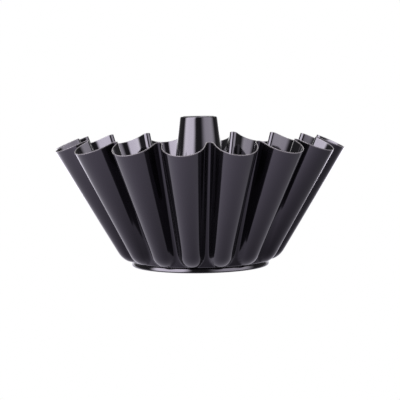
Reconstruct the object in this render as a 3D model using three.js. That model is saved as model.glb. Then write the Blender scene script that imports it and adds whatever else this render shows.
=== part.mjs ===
// A fluted tube cake pan in pressed sheet steel: a wall folded into sixteen rounded flutes, a ring-shaped
// floor whose edge is folded up round the wall's skirt to make the foot, and a tapered tube in the middle.
// Millimetres, +Z up. The origin is on the pan's axis at the height of the surface it stands on.
import * as THREE from "three";
import { LoftGeometry } from "three/addons/geometries/LoftGeometry.js";

// Driving dimensions.
const SHEET = 0.6; // thickness of all three sheets
const SEAM_GAP = 0.3; // air left between two sheets folded into one another
const FLUTES = 16;

// The wall's cut top edge, seen from above, is a crest arc and a valley arc joined by a straight flank.
const RIM = {
  crestRadius: 110,
  valleyRadius: 91.1,
  crestArc: 15.4,
  valleyArc: 2.5,
  crestHeight: 88.7,
  valleyHeight: 97.4,
  bow: 0.14, // how far the edge rises above a straight slope between crest and valley
};

// The same outline where the straight part of the wall would meet the level of its bottom corner.
const CORNER = {
  crestRadius: 59.2,
  valleyRadius: 52,
  crestArc: 7.4,
  valleyArc: 2.7,
  height: 3.8,
};

// Just over the foot the flutes end as rounded fingertips that stand out of a plain band.
const BAND_RADIUS = 54.2; // of the band, at the corner's height
const BAND_SLOPE = 0.06;
const BAND_ROUNDING = 1.4; // of the band's lower edge
const FINGER_TOP = 11.7; // height where the rounding of a fingertip starts
const FINGER_SINK = 3; // how deep the fingertip's centre lies behind the band
const FINGER_FILLET = 0.9; // softness of the joint between fingertip and band

// Below its corner the wall is a round skirt that stands in the foot's channel.
const SKIRT_RADIUS = 50.9;
const SKIRT_BOTTOM = 1.2;
const NECK_BEND = 0.7;

// The floor and the foot.
const FLOOR_HEIGHT = 3.5; // upper face of the floor
const FOOT_LIP_HEIGHT = 3.2; // top of the foot's outer leg
const FOOT_LIP_LEAN = 0.6; // how far that leg leans in from bottom to top
const FOLD_BEND = 0.55; // bend radius of the folds, on the sheet's centre line

// The tube.
const TUBE_HEIGHT = 113;
const TUBE_TOP_RADIUS = 14.1;
const TUBE_TAPER = 0.123; // growth of the radius for each millimetre down
const TUBE_LIP_RADIUS = 1.3; // roll of the lip, on the sheet's outer face
const TUBE_LIP_HEM = 1.4; // how far the lip's edge hangs down inside the tube
const TUBE_FOOT_BOTTOM = 0.8; // the tube's fold stays clear of the table
const TUBE_FOLD_TOP = 2.5;

// How finely curves are divided.
const CREST_STEPS = 3;
const VALLEY_STEPS = 2;
const CORNER_STEPS = 3;
const FINGER_STEPS = 4;
const BEND_STEPS = 2;
const LIP_STEPS = 4;
const FLOOR_SEGMENTS = 48;
const TUBE_SEGMENTS = 40;

// Finish: one glossy near-black baked coating.
const COATING = { color: 0x18171b, roughness: 0.12, metalness: 0.0 };

const halfFlute = Math.PI / FLUTES;

const onCircle = (centre, radius, angle) =>
  new THREE.Vector2(
    centre.x + radius * Math.cos(angle),
    centre.y + radius * Math.sin(angle),
  );

// Half a flute seen from above, from the middle of its crest (on the x axis) to the middle of its valley.
function halfFluteOutline({ crestRadius, valleyRadius, crestArc, valleyArc }) {
  const origin = new THREE.Vector2();
  const crestCentre = new THREE.Vector2(crestRadius - crestArc, 0);
  const valleyCentre = onCircle(origin, valleyRadius + valleyArc, halfFlute);
  const apart = valleyCentre.clone().sub(crestCentre);
  // The flank is the inner tangent of the two arcs.
  const turn = apart.angle() - Math.acos((crestArc + valleyArc) / apart.length());
  const points = [];
  for (let i = 0; i <= CREST_STEPS; i++) {
    points.push(onCircle(crestCentre, crestArc, (turn * i) / CREST_STEPS));
  }
  for (let i = 0; i <= VALLEY_STEPS; i++) {
    const angle = THREE.MathUtils.lerp(turn, halfFlute, i / VALLEY_STEPS) + Math.PI;
    points.push(onCircle(valleyCentre, valleyArc, angle));
  }
  return points;
}

// The whole outline, counter-clockwise, from half of it mirrored and repeated.
function allFlutes(half) {
  const mirrored = half.slice(1).reverse().map((p) => new THREE.Vector2(p.x, -p.y));
  const flute = [...mirrored, ...half.slice(0, -1)];
  const outline = [];
  for (let i = 0; i < FLUTES; i++) {
    const middle = 2 * halfFlute * i;
    outline.push(...flute.map((p) => p.clone().rotateAround(new THREE.Vector2(), middle)));
  }
  return outline;
}

const atHeight = (p, z) => new THREE.Vector3(p.x, p.y, z);

function rimHeight(p) {
  const t = (RIM.crestRadius - p.length()) / (RIM.crestRadius - RIM.valleyRadius);
  return RIM.crestHeight + (RIM.valleyHeight - RIM.crestHeight) * (t + RIM.bow * t * (1 - t));
}

// The outline at a height, with its flutes rounded off as fingertips over the band.
function fingered(p, z) {
  const radius = p.length();
  const band = BAND_RADIUS + BAND_SLOPE * (z - CORNER.height);
  const axis = band - FINGER_SINK;
  const below = Math.max(FINGER_TOP - z, 0);
  const reach = Math.sqrt(Math.max(Math.max(radius - axis, 0) ** 2 - below ** 2, 0));
  const over = axis + reach - band;
  return p.clone().setLength(band + (over + Math.hypot(over, FINGER_FILLET)) / 2);
}

// Rings of the wall's outer face from the skirt's lower edge up to the rim.
function wallOuterRings() {
  const rim = allFlutes(halfFluteOutline(RIM));
  const corner = allFlutes(halfFluteOutline(CORNER));
  const neckRadius = SKIRT_RADIUS + NECK_BEND;
  const circle = (radius, z) => corner.map((p) => atHeight(p.clone().setLength(radius), z));
  const wallAt = (i, z) => {
    const t = (z - CORNER.height) / (rimHeight(rim[i]) - CORNER.height);
    return fingered(corner[i].clone().lerp(rim[i], t), z);
  };
  const rings = [circle(SKIRT_RADIUS, SKIRT_BOTTOM), circle(SKIRT_RADIUS, CORNER.height - NECK_BEND)];
  // The rounded corner leaves the neck level and turns up into the band.
  for (let s = 0; s < CORNER_STEPS; s++) {
    const angle = (Math.PI / 2) * (s / CORNER_STEPS);
    const z = CORNER.height + BAND_ROUNDING * (1 - Math.cos(angle));
    rings.push(
      corner.map((p, i) => {
        const neck = p.clone().setLength(neckRadius);
        return atHeight(neck.lerp(wallAt(i, z), Math.sin(angle)), z);
      }),
    );
  }
  const bandStart = CORNER.height + BAND_ROUNDING;
  for (let s = 0; s <= FINGER_STEPS; s++) {
    const z = THREE.MathUtils.lerp(bandStart, FINGER_TOP, s / FINGER_STEPS);
    rings.push(corner.map((p, i) => atHeight(wallAt(i, z), z)));
  }
  rings.push(rim.map((p) => atHeight(p, rimHeight(p))));
  return rings;
}

// The inner face: each ring moved in by the sheet's thickness, square to the surface.
function offsetRings(rings, thickness) {
  const last = rings.length - 1;
  return rings.map((ring, r) =>
    ring.map((p, i) => {
      const count = ring.length;
      const along = ring[(i + 1) % count].clone().sub(ring[(i + count - 1) % count]);
      const upwards = rings[Math.min(r + 1, last)][i].clone().sub(rings[Math.max(r - 1, 0)][i]);
      const outwards = along.cross(upwards).normalize();
      return p.clone().addScaledVector(outwards, -thickness);
    }),
  );
}

// Up the outside, over the cut edge, down the inside and back to the start, as one closed skin.
function wallGeometry() {
  const outer = wallOuterRings();
  const inner = offsetRings(outer, SHEET);
  return new LoftGeometry([...outer, ...inner.reverse(), outer[0]]);
}

// A line of points with an arc at each bend.
function bentLine(corners, bendRadius) {
  const line = [corners[0]];
  for (let i = 1; i < corners.length - 1; i++) {
    const before = corners[i - 1].clone().sub(corners[i]).normalize();
    const after = corners[i + 1].clone().sub(corners[i]).normalize();
    const halfAngle = Math.acos(before.dot(after)) / 2;
    const reach = bendRadius / Math.tan(halfAngle);
    const middle = before.clone().add(after).normalize();
    const centre = corners[i].clone().addScaledVector(middle, bendRadius / Math.sin(halfAngle));
    const start = corners[i].clone().addScaledVector(before, reach).sub(centre);
    const sweep = Math.sign(before.cross(after)) * (2 * halfAngle - Math.PI);
    for (let s = 0; s <= BEND_STEPS; s++) {
      const spoke = start.clone().rotateAround(new THREE.Vector2(), (sweep * s) / BEND_STEPS);
      line.push(centre.clone().add(spoke));
    }
  }
  line.push(corners[corners.length - 1]);
  return line;
}

// The cut through a sheet that follows a line, as a closed outline: one face out, the other face back.
function sheetSection(line, thickness) {
  const face = (side) =>
    line.map((p, i) => {
      const previous = line[Math.max(i - 1, 0)];
      const next = line[Math.min(i + 1, line.length - 1)];
      const inDirection = p.clone().sub(previous).normalize();
      const outDirection = next.clone().sub(p).normalize();
      const along = inDirection.clone().add(outDirection).normalize();
      const square = new THREE.Vector2(-along.y, along.x);
      const mitre = 1 / Math.max(along.dot(inDirection), along.dot(outDirection));
      return p.clone().addScaledVector(square, (side * mitre * thickness) / 2);
    });
  const outline = [...face(-1), ...face(1).reverse()];
  return [...outline, outline[0].clone()];
}

// A section turned round the pan's axis, which is +Z.
function turned(section, segments) {
  return new THREE.LatheGeometry(section, segments).rotateX(Math.PI / 2);
}

const point = (radius, height) => new THREE.Vector2(radius, height);
const tubeRadiusAt = (z) => TUBE_TOP_RADIUS + TUBE_TAPER * (TUBE_HEIGHT - z);

// The tube's sheet, from the free edge of the fold at its foot, up the wall, to the edge of its lip.
function tubeGeometry() {
  const half = SHEET / 2;
  const foldRadius = tubeRadiusAt(TUBE_FOOT_BOTTOM) + SEAM_GAP + SHEET + SEAM_GAP + half;
  const footHeight = TUBE_FOOT_BOTTOM + half;
  const lipRadius = TUBE_LIP_RADIUS - half;
  const wallTop = TUBE_HEIGHT - TUBE_LIP_RADIUS;
  const lipCentre = point(tubeRadiusAt(wallTop) - TUBE_LIP_RADIUS, wallTop);
  const fold = bentLine(
    [
      point(foldRadius, TUBE_FOLD_TOP),
      point(foldRadius, footHeight),
      point(tubeRadiusAt(footHeight) - half, footHeight),
      point(tubeRadiusAt(wallTop) - half, wallTop),
    ],
    FOLD_BEND,
  );
  const lip = [];
  for (let s = 1; s <= LIP_STEPS; s++) {
    lip.push(onCircle(lipCentre, lipRadius, (Math.PI * s) / LIP_STEPS));
  }
  const hem = point(lipCentre.x - lipRadius, wallTop - TUBE_LIP_HEM);
  return turned(sheetSection([...fold, ...lip, hem], SHEET), TUBE_SEGMENTS);
}

// The floor's sheet, from its inner edge inside the tube's fold, across, round the wall's skirt and up.
function floorGeometry() {
  const half = SHEET / 2;
  const collarRadius = tubeRadiusAt(TUBE_FOOT_BOTTOM) + SEAM_GAP + half;
  const collarBottom = TUBE_FOOT_BOTTOM + SHEET + SEAM_GAP;
  const insideSkirt = SKIRT_RADIUS - SHEET - SEAM_GAP - half;
  const outsideSkirt = SKIRT_RADIUS + SEAM_GAP + half;
  const line = bentLine(
    [
      point(collarRadius, collarBottom),
      point(collarRadius, FLOOR_HEIGHT - half),
      point(insideSkirt, FLOOR_HEIGHT - half),
      point(insideSkirt, half),
      point(outsideSkirt + FOOT_LIP_LEAN, half),
      point(outsideSkirt, FOOT_LIP_HEIGHT),
    ],
    FOLD_BEND,
  );
  return turned(sheetSection(line, SHEET), FLOOR_SEGMENTS);
}

function piece(name, geometry) {
  const mesh = new THREE.Mesh(geometry, new THREE.MeshStandardMaterial(COATING));
  mesh.name = name;
  return mesh;
}

const pan = new THREE.Group();
pan.name = "fluted_tube_pan";
pan.add(piece("fluted_wall", wallGeometry()));
pan.add(piece("base_plate", floorGeometry()));
pan.add(piece("centre_tube", tubeGeometry()));

export default pan;
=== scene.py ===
"""A glossy black fluted tube cake pan, in fine sheet-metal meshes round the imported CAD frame.

Each of the three pieces stands for one CAD node. Lengths are in metres, as in the frame; those of the
pan are written as so many times MM.
"""

import math

import bpy
import numpy as np
from mathutils import Matrix, Vector


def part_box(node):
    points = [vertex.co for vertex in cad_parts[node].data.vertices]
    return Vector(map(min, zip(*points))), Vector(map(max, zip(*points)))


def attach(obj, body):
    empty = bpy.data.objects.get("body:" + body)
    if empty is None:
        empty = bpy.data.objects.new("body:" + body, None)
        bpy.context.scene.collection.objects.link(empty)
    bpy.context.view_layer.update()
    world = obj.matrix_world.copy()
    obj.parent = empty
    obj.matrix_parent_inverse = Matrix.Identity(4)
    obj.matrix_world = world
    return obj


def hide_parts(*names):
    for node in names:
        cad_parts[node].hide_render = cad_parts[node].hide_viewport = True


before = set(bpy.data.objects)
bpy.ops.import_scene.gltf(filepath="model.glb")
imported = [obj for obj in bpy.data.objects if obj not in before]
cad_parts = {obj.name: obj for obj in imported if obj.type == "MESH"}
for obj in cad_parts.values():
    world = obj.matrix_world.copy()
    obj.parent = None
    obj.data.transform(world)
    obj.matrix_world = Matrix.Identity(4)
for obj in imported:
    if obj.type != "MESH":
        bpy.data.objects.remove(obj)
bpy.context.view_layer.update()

MM = 0.001
TAU = 2 * math.pi

# ---------------------------------------------------------------- sizes of the pan
# Radii and heights are taken at the outer faces of the sheets.
wall_low, wall_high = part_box("fluted_wall")
base_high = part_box("base_plate")[1]
tube_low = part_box("centre_tube")[0]

SHEET = 0.6 * MM
HALF_SHEET = SHEET / 2
SEAM_GAP = 0.3 * MM
FLUTES = 16
HALF_FLUTE = math.pi / FLUTES

# Seen from above, half a flute of the cut edge is an arc round the crest and an arc round the valley,
# joined by a straight flank. Both arcs are given by their radius.
RIM = dict(
    crest_radius=wall_high.x,
    valley_radius=91.1 * MM,
    crest_arc=15.4 * MM,
    valley_arc=2.5 * MM,
)
RIM_CREST_HEIGHT = 88.7 * MM
RIM_VALLEY_HEIGHT = 97.4 * MM

# Between crest and valley the edge bows up from a straight slope: halfway, by a quarter of this share
# of the rise.
RIM_BOW = 0.14

# Straight lines down the wall run from the cut edge towards this smaller outline, at CORNER_HEIGHT.
CORNER = dict(
    crest_radius=59.2 * MM,
    valley_radius=52.0 * MM,
    crest_arc=7.4 * MM,
    valley_arc=2.7 * MM,
)
CORNER_HEIGHT = 3.8 * MM

# The flutes end as fingertips on a plain band just over the foot.
BAND_RADIUS = 54.2 * MM
BAND_SLOPE = 0.06
BAND_ROUNDING = 1.4 * MM
FINGER_TOP = 11.7 * MM
FINGER_SINK = 3.0 * MM
FINGER_FILLET = 0.9 * MM

# Below its corner the wall is a round skirt that stands in the foot's channel.
SKIRT_RADIUS = 50.9 * MM
SKIRT_BOTTOM = wall_low.z
NECK_BEND = 0.7 * MM

PAN_FLOOR_HEIGHT = base_high.z
FOOT_LIP_HEIGHT = 3.2 * MM
FOOT_LIP_LEAN = 0.6 * MM

# The folds bend with this radius along the middle of their sheet.
FOLD_BEND = 0.55 * MM

TUBE_HEIGHT = 113.0 * MM
TUBE_TOP_RADIUS = 14.1 * MM
TUBE_TAPER = 0.123
TUBE_LIP_RADIUS = 1.3 * MM
TUBE_LIP_HEM = 1.4 * MM
TUBE_FOOT_BOTTOM = tube_low.z
TUBE_FOLD_TOP = 2.5 * MM

# How finely the meshes are divided.
CREST_STEPS = 22
FLANK_STEPS = 4
VALLEY_STEPS = 12
NECK_STEPS = 4
CORNER_STEPS = 7
WALL_STEPS = 20
EDGE_STEPS = 4
BEND_STEPS = 6
LIP_STEPS = 14
TUBE_WALL_STEPS = 39
TURN_STEPS = 256

# The rings up the wall crowd together towards its lower end, by this power.
WALL_CROWDING = 1.7

# How far a cut edge bulges out, as a share of half the sheet's thickness.
EDGE_ROUNDNESS = 0.6

# The coating is worn thin along the rim's cut edge and where the foot touches what it stands on. Along
# the rim its lighter colour is also a painted highlight. The rim's shares of that colour are for the
# two rings at RIM_MARGINS below the edge and for the edge's own ring.
RIM_MARGINS = (0.7 * MM, 0.3 * MM)
RIM_WEAR_AND_HIGHLIGHT = (0.0, 0.3, 0.8)
FOOT_WEAR_HEIGHT = 0.25 * MM

# ---------------------------------------------------------------- looks of the coating
# The cast tints what the coating reflects. A scale is about the number of noise features in a metre.
COATING_COLOUR = (0.0012, 0.0011, 0.0014)
COATING_CAST = (0.9, 0.83, 1.0)
COATING_ROUGHNESS = (0.07, 0.11)
CLOUD_SCALE = 25
CLOUD_DETAIL = 3
RIPPLE_SCALE = 45
RIPPLE_DEPTH = 0.2 * MM
PEEL_SCALE = 350
PEEL_DEPTH = 0.002 * MM
RELIEF_DETAIL = 1

# Where the coating is worn thin, the worn colour shows in patches; along the rim it is also a painted
# highlight.
WORN_AND_HIGHLIT_COLOUR = (0.06, 0.055, 0.057)
WORN_AND_HIGHLIT_ROUGHNESS = 0.42
WEAR_AND_HIGHLIGHT_SCALE = 400
WEAR_AND_HIGHLIGHT_DETAIL = 2
WEAR_AND_HIGHLIGHT_PATCHINESS = (0.7, 1.0)

# Nearly all values of a noise texture lie in this range.
NOISE_RANGE = (0.3, 0.7)

# ---------------------------------------------------------------- camera and stage
# Azimuth is round the pan's axis, from -Y towards +X, and distance is level from that axis. Pitch is
# downwards. These angles are in radians, and the sensor and the lens in millimetres.
CAMERA_AZIMUTH = math.radians(6.55)
CAMERA_DISTANCE = 1.0902
CAMERA_HEIGHT = 0.1435
CAMERA_PITCH = 0.08623
CAMERA_YAW = -0.00025
CAMERA_ROLL = -0.01244
SENSOR_WIDTH = 36.0
CAMERA_LENS = 129.249

# The lights are directions, in degrees: azimuth round from the camera to its right, elevation above the
# table. A softbox is a rounded square, a superellipse of SOFTBOX_POWER. It leans by so many degrees of
# azimuth for each degree of elevation, and its edge fades in between two shares of its half size.
DEGREES = 180 / math.pi
SOFTBOX_POWER = 3
SOFTBOXES = (
    dict(
        azimuth=-55, elevation=33, half_width=35, half_height=40,
        lean=0.0, edge=(1.2, 0.7), radiance=15.5,
    ),
    dict(
        azimuth=57, elevation=28, half_width=39, half_height=38,
        lean=0.1, edge=(1.25, 0.5), radiance=6.9,
    ),
)
ROOM_RADIANCE = 0.18

# A pale backdrop stands behind the pan. It fades in between two azimuths on either side, and
# downwards between two elevations.
BACKDROP_FROM = (138, 160)
BACKDROP_UP_TO = (20, 10)
BACKDROP_RADIANCE = 2.0

# A round panel hangs behind the pan, overhead. Its edge fades between two angles from its middle.
OVERHEAD_MIDDLE = (180, 62)
OVERHEAD_EDGE = (40, 20)
OVERHEAD_RADIANCE = 3.2

# The floor's radiance in reflections changes evenly with the distance to the camera's right, towards
# the camera and away from the pan. The floor has a sheen, so it also changes with the side that it is
# seen from.
FLOOR_SIDE = 12.0
FLOOR_TINT = (0.985, 0.95, 1.065)
FLOOR_NEAR = 0.5
FLOOR_PER_METRE_RIGHT = -1.25
FLOOR_PER_METRE_FORWARD = 6.8
FLOOR_PER_METRE_AWAY = 0.6
FLOOR_SEEN_FROM_RIGHT = 0.3
FLOOR_SEEN_FROM_FRONT = 0.61
FLOOR_DARKEST = 0.33
FLOOR_BRIGHTEST = 3.0

# Behind this line the change towards the camera stops.
FLOOR_BACKMOST = -0.008

# FLOOR_FAR more comes in between two distances from the pan. The lean times the distance to the
# camera's right is added to the distance from the pan.
FLOOR_FAR = 2.2
FLOOR_FAR_FROM = (0.19, 0.42)
FLOOR_FAR_LEAN = -0.12


# ---------------------------------------------------------------- mesh helpers
def make_mesh(name, grid, wear_and_highlight):
    """A closed skin from rings of points: grid[ring][point] is a position, and both ways wrap round.

    The last argument gives each ring, from 0 to 1, its share of the lighter colour: worn coating at the
    foot, and worn coating with a painted highlight along the rim.
    """
    rings, count = grid.shape[:2]
    index = np.arange(rings * count).reshape(rings, count)
    right = np.roll(index, -1, axis=1)
    up = np.roll(index, -1, axis=0)
    faces = np.stack([index, right, np.roll(right, -1, axis=0), up], axis=-1).reshape(-1, 4)
    mesh = bpy.data.meshes.new(name)
    mesh.from_pydata(grid.reshape(-1, 3).tolist(), [], faces.tolist())
    mesh.update()
    mesh.shade_smooth()
    rubbed_and_highlit = mesh.attributes.new("rubbed_and_highlit", "FLOAT", "POINT")
    rubbed_and_highlit.data.foreach_set("value", np.repeat(wear_and_highlight, count).astype(np.float32))
    piece = bpy.data.objects.new(name, mesh)
    bpy.context.scene.collection.objects.link(piece)
    return piece


def unit(v):
    return v / np.linalg.norm(v, axis=-1, keepdims=True)


# ---------------------------------------------------------------- the fluted wall
def half_flute_outline(crest_radius, valley_radius, crest_arc, valley_arc):
    """Half a flute seen from above, from its crest on the x axis to its valley, as complex numbers."""
    crest_centre = crest_radius - crest_arc
    valley_centre = (valley_radius + valley_arc) * np.exp(1j * HALF_FLUTE)
    apart = valley_centre - crest_centre
    turn = np.angle(apart) - math.acos((crest_arc + valley_arc) / abs(apart))
    crest = crest_centre + crest_arc * np.exp(1j * np.linspace(0, turn, CREST_STEPS + 1))
    valley_angles = np.linspace(turn, HALF_FLUTE, VALLEY_STEPS + 1) + math.pi
    valley = valley_centre + valley_arc * np.exp(1j * valley_angles)
    flank = np.linspace(crest[-1], valley[0], FLANK_STEPS + 1)[1:-1]
    return np.concatenate([crest, flank, valley])


def all_flutes(half):
    """The whole outline, counter-clockwise."""
    flute = np.concatenate([half[:0:-1].conj(), half[:-1]])
    turns = np.exp(2j * HALF_FLUTE * np.arange(FLUTES))
    return (turns[:, None] * flute[None, :]).ravel()


def ring_at(outline, height):
    """Points in space from an outline and one height, or a height for each point."""
    z = np.broadcast_to(height, outline.shape)
    return np.stack([outline.real, outline.imag, z], axis=-1)


def rim_height(outline):
    """The cut edge's height at each point of its outline: low at the crests, high at the valleys."""
    t = (RIM["crest_radius"] - abs(outline)) / (RIM["crest_radius"] - RIM["valley_radius"])
    rise = RIM_VALLEY_HEIGHT - RIM_CREST_HEIGHT
    return RIM_CREST_HEIGHT + rise * (t + RIM_BOW * t * (1 - t))


def fingered(outline, height):
    """The outline at a height, with its flutes rounded off as fingertips over the band."""
    radius = abs(outline)
    band = BAND_RADIUS + BAND_SLOPE * (height - CORNER_HEIGHT)
    # Below FINGER_TOP a flute's reach beyond an axis sunk in the band shrinks as that of a circle.
    axis = band - FINGER_SINK
    below = np.maximum(FINGER_TOP - height, 0)
    reach = np.sqrt(np.maximum(np.maximum(radius - axis, 0) ** 2 - below ** 2, 0))
    # A hyperbola fillets the fingertip into the band.
    over = axis + reach - band
    return outline / radius * (band + (over + np.sqrt(over ** 2 + FINGER_FILLET ** 2)) / 2)


def wall_outer_face():
    """Rings of points from the skirt's lower edge up to the rim."""
    rim = all_flutes(half_flute_outline(**RIM))
    corner = all_flutes(half_flute_outline(**CORNER))
    top = rim_height(rim)
    spoke = corner / abs(corner)
    rings = [ring_at(spoke * SKIRT_RADIUS, SKIRT_BOTTOM)]
    # The skirt bends out into the neck.
    for angle in np.linspace(0, math.pi / 2, NECK_STEPS + 1)[:-1]:
        radius = SKIRT_RADIUS + NECK_BEND * (1 - math.cos(angle))
        height = CORNER_HEIGHT - NECK_BEND * (1 - math.sin(angle))
        rings.append(ring_at(spoke * radius, height))

    def wall_at(height):
        ruled = corner + (rim - corner) * (height - CORNER_HEIGHT) / (top - CORNER_HEIGHT)
        return fingered(ruled, height)

    # The rounded corner leaves the neck level and turns up into the band.
    neck = spoke * (SKIRT_RADIUS + NECK_BEND)
    for angle in np.linspace(0, math.pi / 2, CORNER_STEPS + 1)[:-1]:
        height = CORNER_HEIGHT + BAND_ROUNDING * (1 - math.cos(angle))
        rings.append(ring_at(neck + (wall_at(height) - neck) * math.sin(angle), height))
    start = CORNER_HEIGHT + BAND_ROUNDING
    below_rim = [1 - margin / (RIM_CREST_HEIGHT - start) for margin in RIM_MARGINS]
    for s in [*np.linspace(0, 1, WALL_STEPS + 1)[:-1] ** WALL_CROWDING, *below_rim, 1]:
        height = start + (top - start) * s
        rings.append(ring_at(wall_at(height), height))
    return np.array(rings)


def outward_normals(face):
    """Normals of a face given as rings of points, counter-clockwise and going up."""
    along = np.roll(face, -1, axis=1) - np.roll(face, 1, axis=1)
    upwards = np.gradient(face, axis=0)
    return unit(np.cross(along, upwards))


def fluted_wall():
    """The wall's sheet: up its outer face, over the cut edge and down its inner face."""
    outer = wall_outer_face()
    normals = outward_normals(outer)
    middle = outer - normals * HALF_SHEET
    inner = outer - normals * SHEET
    # The cut edge is slightly rounded over by the coating.
    top, top_normal = middle[-1], normals[-1]
    top_up = unit(middle[-1] - middle[-2])
    edge = []
    for angle in np.linspace(0, math.pi, EDGE_STEPS + 2)[1:-1]:
        across = HALF_SHEET * math.cos(angle)
        beyond = HALF_SHEET * EDGE_ROUNDNESS * math.sin(angle)
        edge.append(top + top_normal * across + top_up * beyond)
    grid = np.concatenate([outer, np.array(edge), inner[::-1]])
    # The rings by the cut edge, and the edge itself, get the lighter colour: worn coating and a painted
    # highlight.
    face_wear_and_highlight = np.zeros(len(outer))
    face_wear_and_highlight[-len(RIM_WEAR_AND_HIGHLIGHT):] = RIM_WEAR_AND_HIGHLIGHT
    wear_and_highlight = np.concatenate([face_wear_and_highlight, np.ones(len(edge)), face_wear_and_highlight[::-1]])
    return make_mesh("wall_sheet", grid, wear_and_highlight)


# ---------------------------------------------------------------- sheets turned round the axis
def bent_line(corners, bends):
    """A line through (radius, height) corners with an arc of its own radius at each inner corner.

    The line and all that is made from it are radius and height in complex numbers.
    """
    points = [complex(*p) for p in corners]
    line = [points[0]]
    for before, corner, after, bend in zip(points, points[1:], points[2:], bends):
        back = (before - corner) / abs(before - corner)
        ahead = (after - corner) / abs(after - corner)
        half_angle = abs(np.angle(ahead / back)) / 2
        centre = corner + (back + ahead) / abs(back + ahead) * bend / math.sin(half_angle)
        start = corner + back * bend / math.tan(half_angle) - centre
        sweep = math.copysign(math.pi - 2 * half_angle, -np.angle(ahead / back))
        for s in np.linspace(0, 1, BEND_STEPS + 1):
            line.append(centre + start * np.exp(1j * sweep * s))
    line.append(points[-1])
    return np.array(line)


def sheet_section(line, thickness):
    """The closed cut through a sheet that follows a line, with rounded edges."""
    steps = np.diff(line)
    directions = steps / abs(steps)
    arriving = np.concatenate([directions[:1], directions])
    leaving = np.concatenate([directions, directions[-1:]])
    along = (arriving + leaving) / abs(arriving + leaving)
    mitre = 1 / (along * arriving.conj()).real
    square = 1j * along * mitre * thickness / 2

    def edge(end, direction):
        angles = np.linspace(0, math.pi, EDGE_STEPS + 2)[1:-1]
        around = EDGE_ROUNDNESS * np.sin(angles) - 1j * np.cos(angles)
        return end + direction * thickness / 2 * around

    return np.concatenate([
        line - square,
        edge(line[-1], along[-1]),
        (line + square)[::-1],
        edge(line[0], -along[0]),
    ])


def turned(name, section):
    """A closed section turned round the pan's axis. Radius and height are in complex numbers."""
    angles = np.linspace(0, TAU, TURN_STEPS, endpoint=False)
    spokes = np.stack([np.cos(angles), np.sin(angles), np.zeros(TURN_STEPS)], axis=-1)
    upright = np.array([0.0, 0.0, 1.0])
    grid = section.real[:, None, None] * spokes[None] + section.imag[:, None, None] * upright
    wear_and_highlight = np.clip(1 - section.imag / FOOT_WEAR_HEIGHT, 0, 1)
    return make_mesh(name, grid, wear_and_highlight)


def tube_radius_at(z):
    return TUBE_TOP_RADIUS + TUBE_TAPER * (TUBE_HEIGHT - z)


def centre_tube():
    """The tube's sheet: down and round the fold at its foot, up its wall and over its rolled lip."""
    fold_radius = tube_radius_at(TUBE_FOOT_BOTTOM) + SEAM_GAP + SHEET + SEAM_GAP + HALF_SHEET
    foot_height = TUBE_FOOT_BOTTOM + HALF_SHEET
    wall_top = TUBE_HEIGHT - TUBE_LIP_RADIUS
    line = bent_line(
        [
            (fold_radius, TUBE_FOLD_TOP),
            (fold_radius, foot_height),
            (tube_radius_at(foot_height) - HALF_SHEET, foot_height),
            (tube_radius_at(wall_top) - HALF_SHEET, wall_top),
        ],
        [FOLD_BEND, FOLD_BEND],
    )
    # Long smooth runs get points of their own, so that shading stays even.
    wall = np.linspace(line[-2], line[-1], TUBE_WALL_STEPS + 1)[1:-1]
    lip_centre = tube_radius_at(wall_top) - TUBE_LIP_RADIUS + 1j * wall_top
    lip_radius = TUBE_LIP_RADIUS - HALF_SHEET
    lip = lip_centre + lip_radius * np.exp(1j * np.linspace(0, math.pi, LIP_STEPS + 1)[1:])
    hem = lip[-1] - 1j * TUBE_LIP_HEM
    whole = np.concatenate([line[:-1], wall, line[-1:], lip, [hem]])
    return turned("tube_sheet", sheet_section(whole, SHEET))


def base_plate():
    """The floor's sheet: up its collar, across, down and under the skirt, and up to the foot's lip."""
    collar_radius = tube_radius_at(TUBE_FOOT_BOTTOM) + SEAM_GAP + HALF_SHEET
    collar_bottom = TUBE_FOOT_BOTTOM + SHEET + SEAM_GAP
    inside_skirt = SKIRT_RADIUS - SHEET - SEAM_GAP - HALF_SHEET
    outside_skirt = SKIRT_RADIUS + SEAM_GAP + HALF_SHEET
    line = bent_line(
        [
            (collar_radius, collar_bottom),
            (collar_radius, PAN_FLOOR_HEIGHT - HALF_SHEET),
            (inside_skirt, PAN_FLOOR_HEIGHT - HALF_SHEET),
            (inside_skirt, HALF_SHEET),
            (outside_skirt + FOOT_LIP_LEAN, HALF_SHEET),
            (outside_skirt, FOOT_LIP_HEIGHT),
        ],
        [FOLD_BEND] * 4,
    )
    return turned("base_sheet", sheet_section(line, SHEET))


# ---------------------------------------------------------------- materials
def node_tree(owner):
    """An empty node tree for a material or world, as (nodes, links)."""
    owner.use_nodes = True
    owner.node_tree.nodes.clear()
    return owner.node_tree.nodes, owner.node_tree.links


def math_node(nodes, links, operation, *values):
    node = nodes.new("ShaderNodeMath")
    node.operation = operation
    for socket, value in zip(node.inputs, values):
        if isinstance(value, (int, float)):
            socket.default_value = value
        else:
            links.new(value, socket)
    return node.outputs[0]


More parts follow.
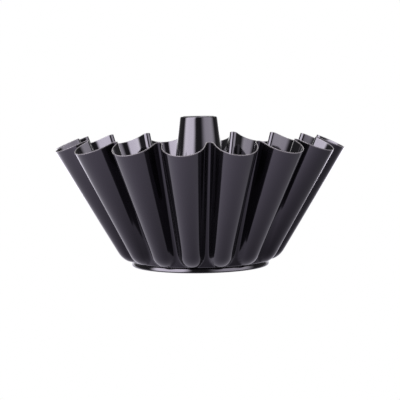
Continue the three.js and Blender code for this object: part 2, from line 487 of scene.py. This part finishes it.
def coating(name, seed):
    """Glossy near-black baked coating: a faint lavender cast, ripples, orange peel, and worn edges,
    lighter along the rim as a painted highlight.
    """
    material = bpy.data.materials.new(name)
    nodes, links = node_tree(material)
    place = nodes.new("ShaderNodeTexCoord").outputs["Object"]

    def noise(scale, detail):
        node = nodes.new("ShaderNodeTexNoise")
        node.noise_dimensions = "4D"
        node.inputs["W"].default_value = seed
        node.inputs["Scale"].default_value = scale
        node.inputs["Detail"].default_value = detail
        links.new(place, node.inputs["Vector"])
        return node.outputs["Fac"]

    def between(value, low, high):
        node = nodes.new("ShaderNodeMapRange")
        node.inputs["From Min"].default_value = NOISE_RANGE[0]
        node.inputs["From Max"].default_value = NOISE_RANGE[1]
        node.inputs["To Min"].default_value = low
        node.inputs["To Max"].default_value = high
        links.new(value, node.inputs["Value"])
        return node.outputs["Result"]

    # The lighter colour shows where the coating is worn, and along the rim it is also a painted
    # highlight.
    wear_and_highlight = nodes.new("ShaderNodeAttribute")
    wear_and_highlight.attribute_name = "rubbed_and_highlit"
    patches = between(noise(WEAR_AND_HIGHLIGHT_SCALE, WEAR_AND_HIGHLIGHT_DETAIL), *WEAR_AND_HIGHLIGHT_PATCHINESS)
    patchy_wear_and_highlight = math_node(nodes, links, "MULTIPLY", wear_and_highlight.outputs["Fac"], patches)

    colour = nodes.new("ShaderNodeMix")
    colour.data_type = "RGBA"
    links.new(patchy_wear_and_highlight, colour.inputs["Factor"])
    colour.inputs["A"].default_value = (*COATING_COLOUR, 1)
    colour.inputs["B"].default_value = (*WORN_AND_HIGHLIT_COLOUR, 1)

    smooth = between(noise(CLOUD_SCALE, CLOUD_DETAIL), *COATING_ROUGHNESS)
    roughness = nodes.new("ShaderNodeMix")
    links.new(patchy_wear_and_highlight, roughness.inputs["Factor"])
    links.new(smooth, roughness.inputs["A"])
    roughness.inputs["B"].default_value = WORN_AND_HIGHLIT_ROUGHNESS

    # Slow ripples of the pressed sheet, and the coating's orange peel on top of them.
    relief = None
    for scale, depth in ((RIPPLE_SCALE, RIPPLE_DEPTH), (PEEL_SCALE, PEEL_DEPTH)):
        bump = nodes.new("ShaderNodeBump")
        bump.inputs["Distance"].default_value = depth
        links.new(noise(scale, RELIEF_DETAIL), bump.inputs["Height"])
        if relief:
            links.new(relief, bump.inputs["Normal"])
        relief = bump.outputs["Normal"]

    shader = nodes.new("ShaderNodeBsdfPrincipled")
    links.new(colour.outputs["Result"], shader.inputs["Base Color"])
    links.new(roughness.outputs["Result"], shader.inputs["Roughness"])
    links.new(relief, shader.inputs["Normal"])
    shader.inputs["Specular Tint"].default_value = (*COATING_CAST, 1)
    out = nodes.new("ShaderNodeOutputMaterial")
    links.new(shader.outputs[0], out.inputs[0])
    return material


# ---------------------------------------------------------------- stage, light and camera
def towards(azimuth, elevation):
    """A unit vector. Azimuth 0 is towards the camera and grows to its right."""
    turn = azimuth + CAMERA_AZIMUTH
    flat = math.cos(elevation)
    return Vector((flat * math.sin(turn), -flat * math.cos(turn), math.sin(elevation)))


TO_FRONT = towards(0, 0)
TO_RIGHT = towards(math.pi / 2, 0)


def ramp(nodes, links, value, low, high):
    """0 below low, 1 above high, smooth in between; low above high turns it round."""
    node = nodes.new("ShaderNodeMapRange")
    node.interpolation_type = "SMOOTHSTEP"
    node.inputs["From Min"].default_value = low
    node.inputs["From Max"].default_value = high
    links.new(value, node.inputs["Value"])
    return node.outputs["Result"]


def dot(nodes, links, vector, direction):
    node = nodes.new("ShaderNodeVectorMath")
    node.operation = "DOT_PRODUCT"
    links.new(vector, node.inputs[0])
    node.inputs[1].default_value = direction
    return node.outputs["Value"]


def output_by_ray(nodes, links, reflected, seen, output):
    """Give the camera one shader, and all other rays the other."""
    mix = nodes.new("ShaderNodeMixShader")
    links.new(nodes.new("ShaderNodeLightPath").outputs["Is Camera Ray"], mix.inputs[0])
    links.new(reflected.outputs[0], mix.inputs[1])
    links.new(seen.outputs[0], mix.inputs[2])
    links.new(mix.outputs[0], nodes.new(output).inputs[0])


def floor_glow(nodes, links):
    """The floor's radiance in reflections: darker close to the pan and on its dimmer side."""
    geometry = nodes.new("ShaderNodeNewGeometry").outputs

    def mathematics(operation, *values):
        return math_node(nodes, links, operation, *values)

    right = dot(nodes, links, geometry["Position"], TO_RIGHT)
    forward = dot(nodes, links, geometry["Position"], TO_FRONT)
    length = nodes.new("ShaderNodeVectorMath")
    length.operation = "LENGTH"
    links.new(geometry["Position"], length.inputs[0])
    away = length.outputs["Value"]
    glow = FLOOR_NEAR
    for measure, gain in (
        (right, FLOOR_PER_METRE_RIGHT),
        (mathematics("MAXIMUM", forward, FLOOR_BACKMOST), FLOOR_PER_METRE_FORWARD),
        (away, FLOOR_PER_METRE_AWAY),
        (dot(nodes, links, geometry["Incoming"], TO_RIGHT), FLOOR_SEEN_FROM_RIGHT),
        (dot(nodes, links, geometry["Incoming"], TO_FRONT), FLOOR_SEEN_FROM_FRONT),
    ):
        glow = mathematics("MULTIPLY_ADD", measure, gain, glow)
    glow = mathematics("MAXIMUM", glow, FLOOR_DARKEST)
    far = mathematics("MULTIPLY_ADD", right, FLOOR_FAR_LEAN, away)
    far = ramp(nodes, links, far, *FLOOR_FAR_FROM)
    glow = mathematics("MULTIPLY_ADD", far, FLOOR_FAR, glow)
    return mathematics("MINIMUM", glow, FLOOR_BRIGHTEST)


def pale_floor():
    """White to the camera, and of uneven radiance in reflections."""
    material = bpy.data.materials.new("pale_floor")
    nodes, links = node_tree(material)
    reflected = nodes.new("ShaderNodeEmission")
    reflected.inputs["Color"].default_value = (*FLOOR_TINT, 1)
    links.new(floor_glow(nodes, links), reflected.inputs["Strength"])
    seen = nodes.new("ShaderNodeEmission")
    output_by_ray(nodes, links, reflected, seen, "ShaderNodeOutputMaterial")
    half = FLOOR_SIDE / 2
    mesh = bpy.data.meshes.new("floor")
    corners = [(-half, -half, 0), (half, -half, 0), (half, half, 0), (-half, half, 0)]
    mesh.from_pydata(corners, [], [(0, 1, 2, 3)])
    mesh.materials.append(material)
    floor = bpy.data.objects.new("floor", mesh)
    bpy.context.scene.collection.objects.link(floor)


def room_glow(nodes, links):
    """The room's radiance in reflections: dark, with softboxes, a backdrop and a top panel."""
    direction = nodes.new("ShaderNodeTexCoord").outputs["Generated"]

    def mathematics(operation, *values):
        return math_node(nodes, links, operation, *values)

    def along(vector):
        return dot(nodes, links, direction, vector)

    azimuth = mathematics("ARCTAN2", along(TO_RIGHT), along(TO_FRONT))
    azimuth = mathematics("MULTIPLY", azimuth, DEGREES)
    elevation = mathematics("MULTIPLY", mathematics("ARCSINE", along((0, 0, 1))), DEGREES)

    def softbox(box):
        middle = mathematics("MULTIPLY_ADD", elevation, box["lean"], box["azimuth"])
        across = mathematics("SUBTRACT", azimuth, middle)
        up = mathematics("SUBTRACT", elevation, box["elevation"])
        powers = []
        for offset, half_size in ((across, box["half_width"]), (up, box["half_height"])):
            share = mathematics("ABSOLUTE", mathematics("DIVIDE", offset, half_size))
            powers.append(mathematics("POWER", share, SOFTBOX_POWER))
        outwards = mathematics("POWER", mathematics("ADD", *powers), 1 / SOFTBOX_POWER)
        return ramp(nodes, links, outwards, *box["edge"])

    def backdrop():
        behind = ramp(nodes, links, mathematics("ABSOLUTE", azimuth), *BACKDROP_FROM)
        low = ramp(nodes, links, elevation, *BACKDROP_UP_TO)
        return mathematics("MULTIPLY", behind, low)

    def overhead_panel():
        cosine = along(towards(*map(math.radians, OVERHEAD_MIDDLE)))
        off_middle = mathematics("MULTIPLY", mathematics("ARCCOSINE", cosine), DEGREES)
        return ramp(nodes, links, off_middle, *OVERHEAD_EDGE)

    glow = ROOM_RADIANCE
    for shape, radiance in (
        *((softbox(box), box["radiance"]) for box in SOFTBOXES),
        (backdrop(), BACKDROP_RADIANCE),
        (overhead_panel(), OVERHEAD_RADIANCE),
    ):
        glow = mathematics("MULTIPLY_ADD", shape, radiance, glow)
    return glow


def studio_world():
    """White to the camera, and a lit room in reflections."""
    world = bpy.data.worlds.new("studio")
    bpy.context.scene.world = world
    nodes, links = node_tree(world)
    reflected = nodes.new("ShaderNodeBackground")
    links.new(room_glow(nodes, links), reflected.inputs["Strength"])
    seen = nodes.new("ShaderNodeBackground")
    seen.inputs["Color"].default_value = (1, 1, 1, 1)
    output_by_ray(nodes, links, reflected, seen, "ShaderNodeOutputWorld")


def product_camera():
    data = bpy.data.cameras.new("camera")
    camera = bpy.data.objects.new("camera", data)
    bpy.context.scene.collection.objects.link(camera)
    data.sensor_width = SENSOR_WIDTH
    data.lens = CAMERA_LENS
    camera.location = TO_FRONT * CAMERA_DISTANCE + Vector((0, 0, CAMERA_HEIGHT))
    facing = Matrix.Rotation(CAMERA_AZIMUTH + CAMERA_YAW, 4, "Z")
    tilt = Matrix.Rotation(math.pi / 2 - CAMERA_PITCH, 4, "X")
    roll = Matrix.Rotation(CAMERA_ROLL, 4, "Z")
    camera.rotation_euler = (facing @ tilt @ roll).to_euler()
    bpy.context.scene.camera = camera


# ---------------------------------------------------------------- build
wall = fluted_wall()
base = base_plate()
tube = centre_tube()
for seed, (piece, node, slot) in enumerate((
    (wall, "fluted_wall", "wall_coating"),
    (base, "base_plate", "base_coating"),
    (tube, "centre_tube", "tube_coating"),
)):
    piece.data.materials.append(coating(piece.name + "_coating", seed))
    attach(piece, "root")
    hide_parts(node)

pale_floor()
studio_world()
product_camera()
bpy.context.scene.view_settings.view_transform = "Standard"
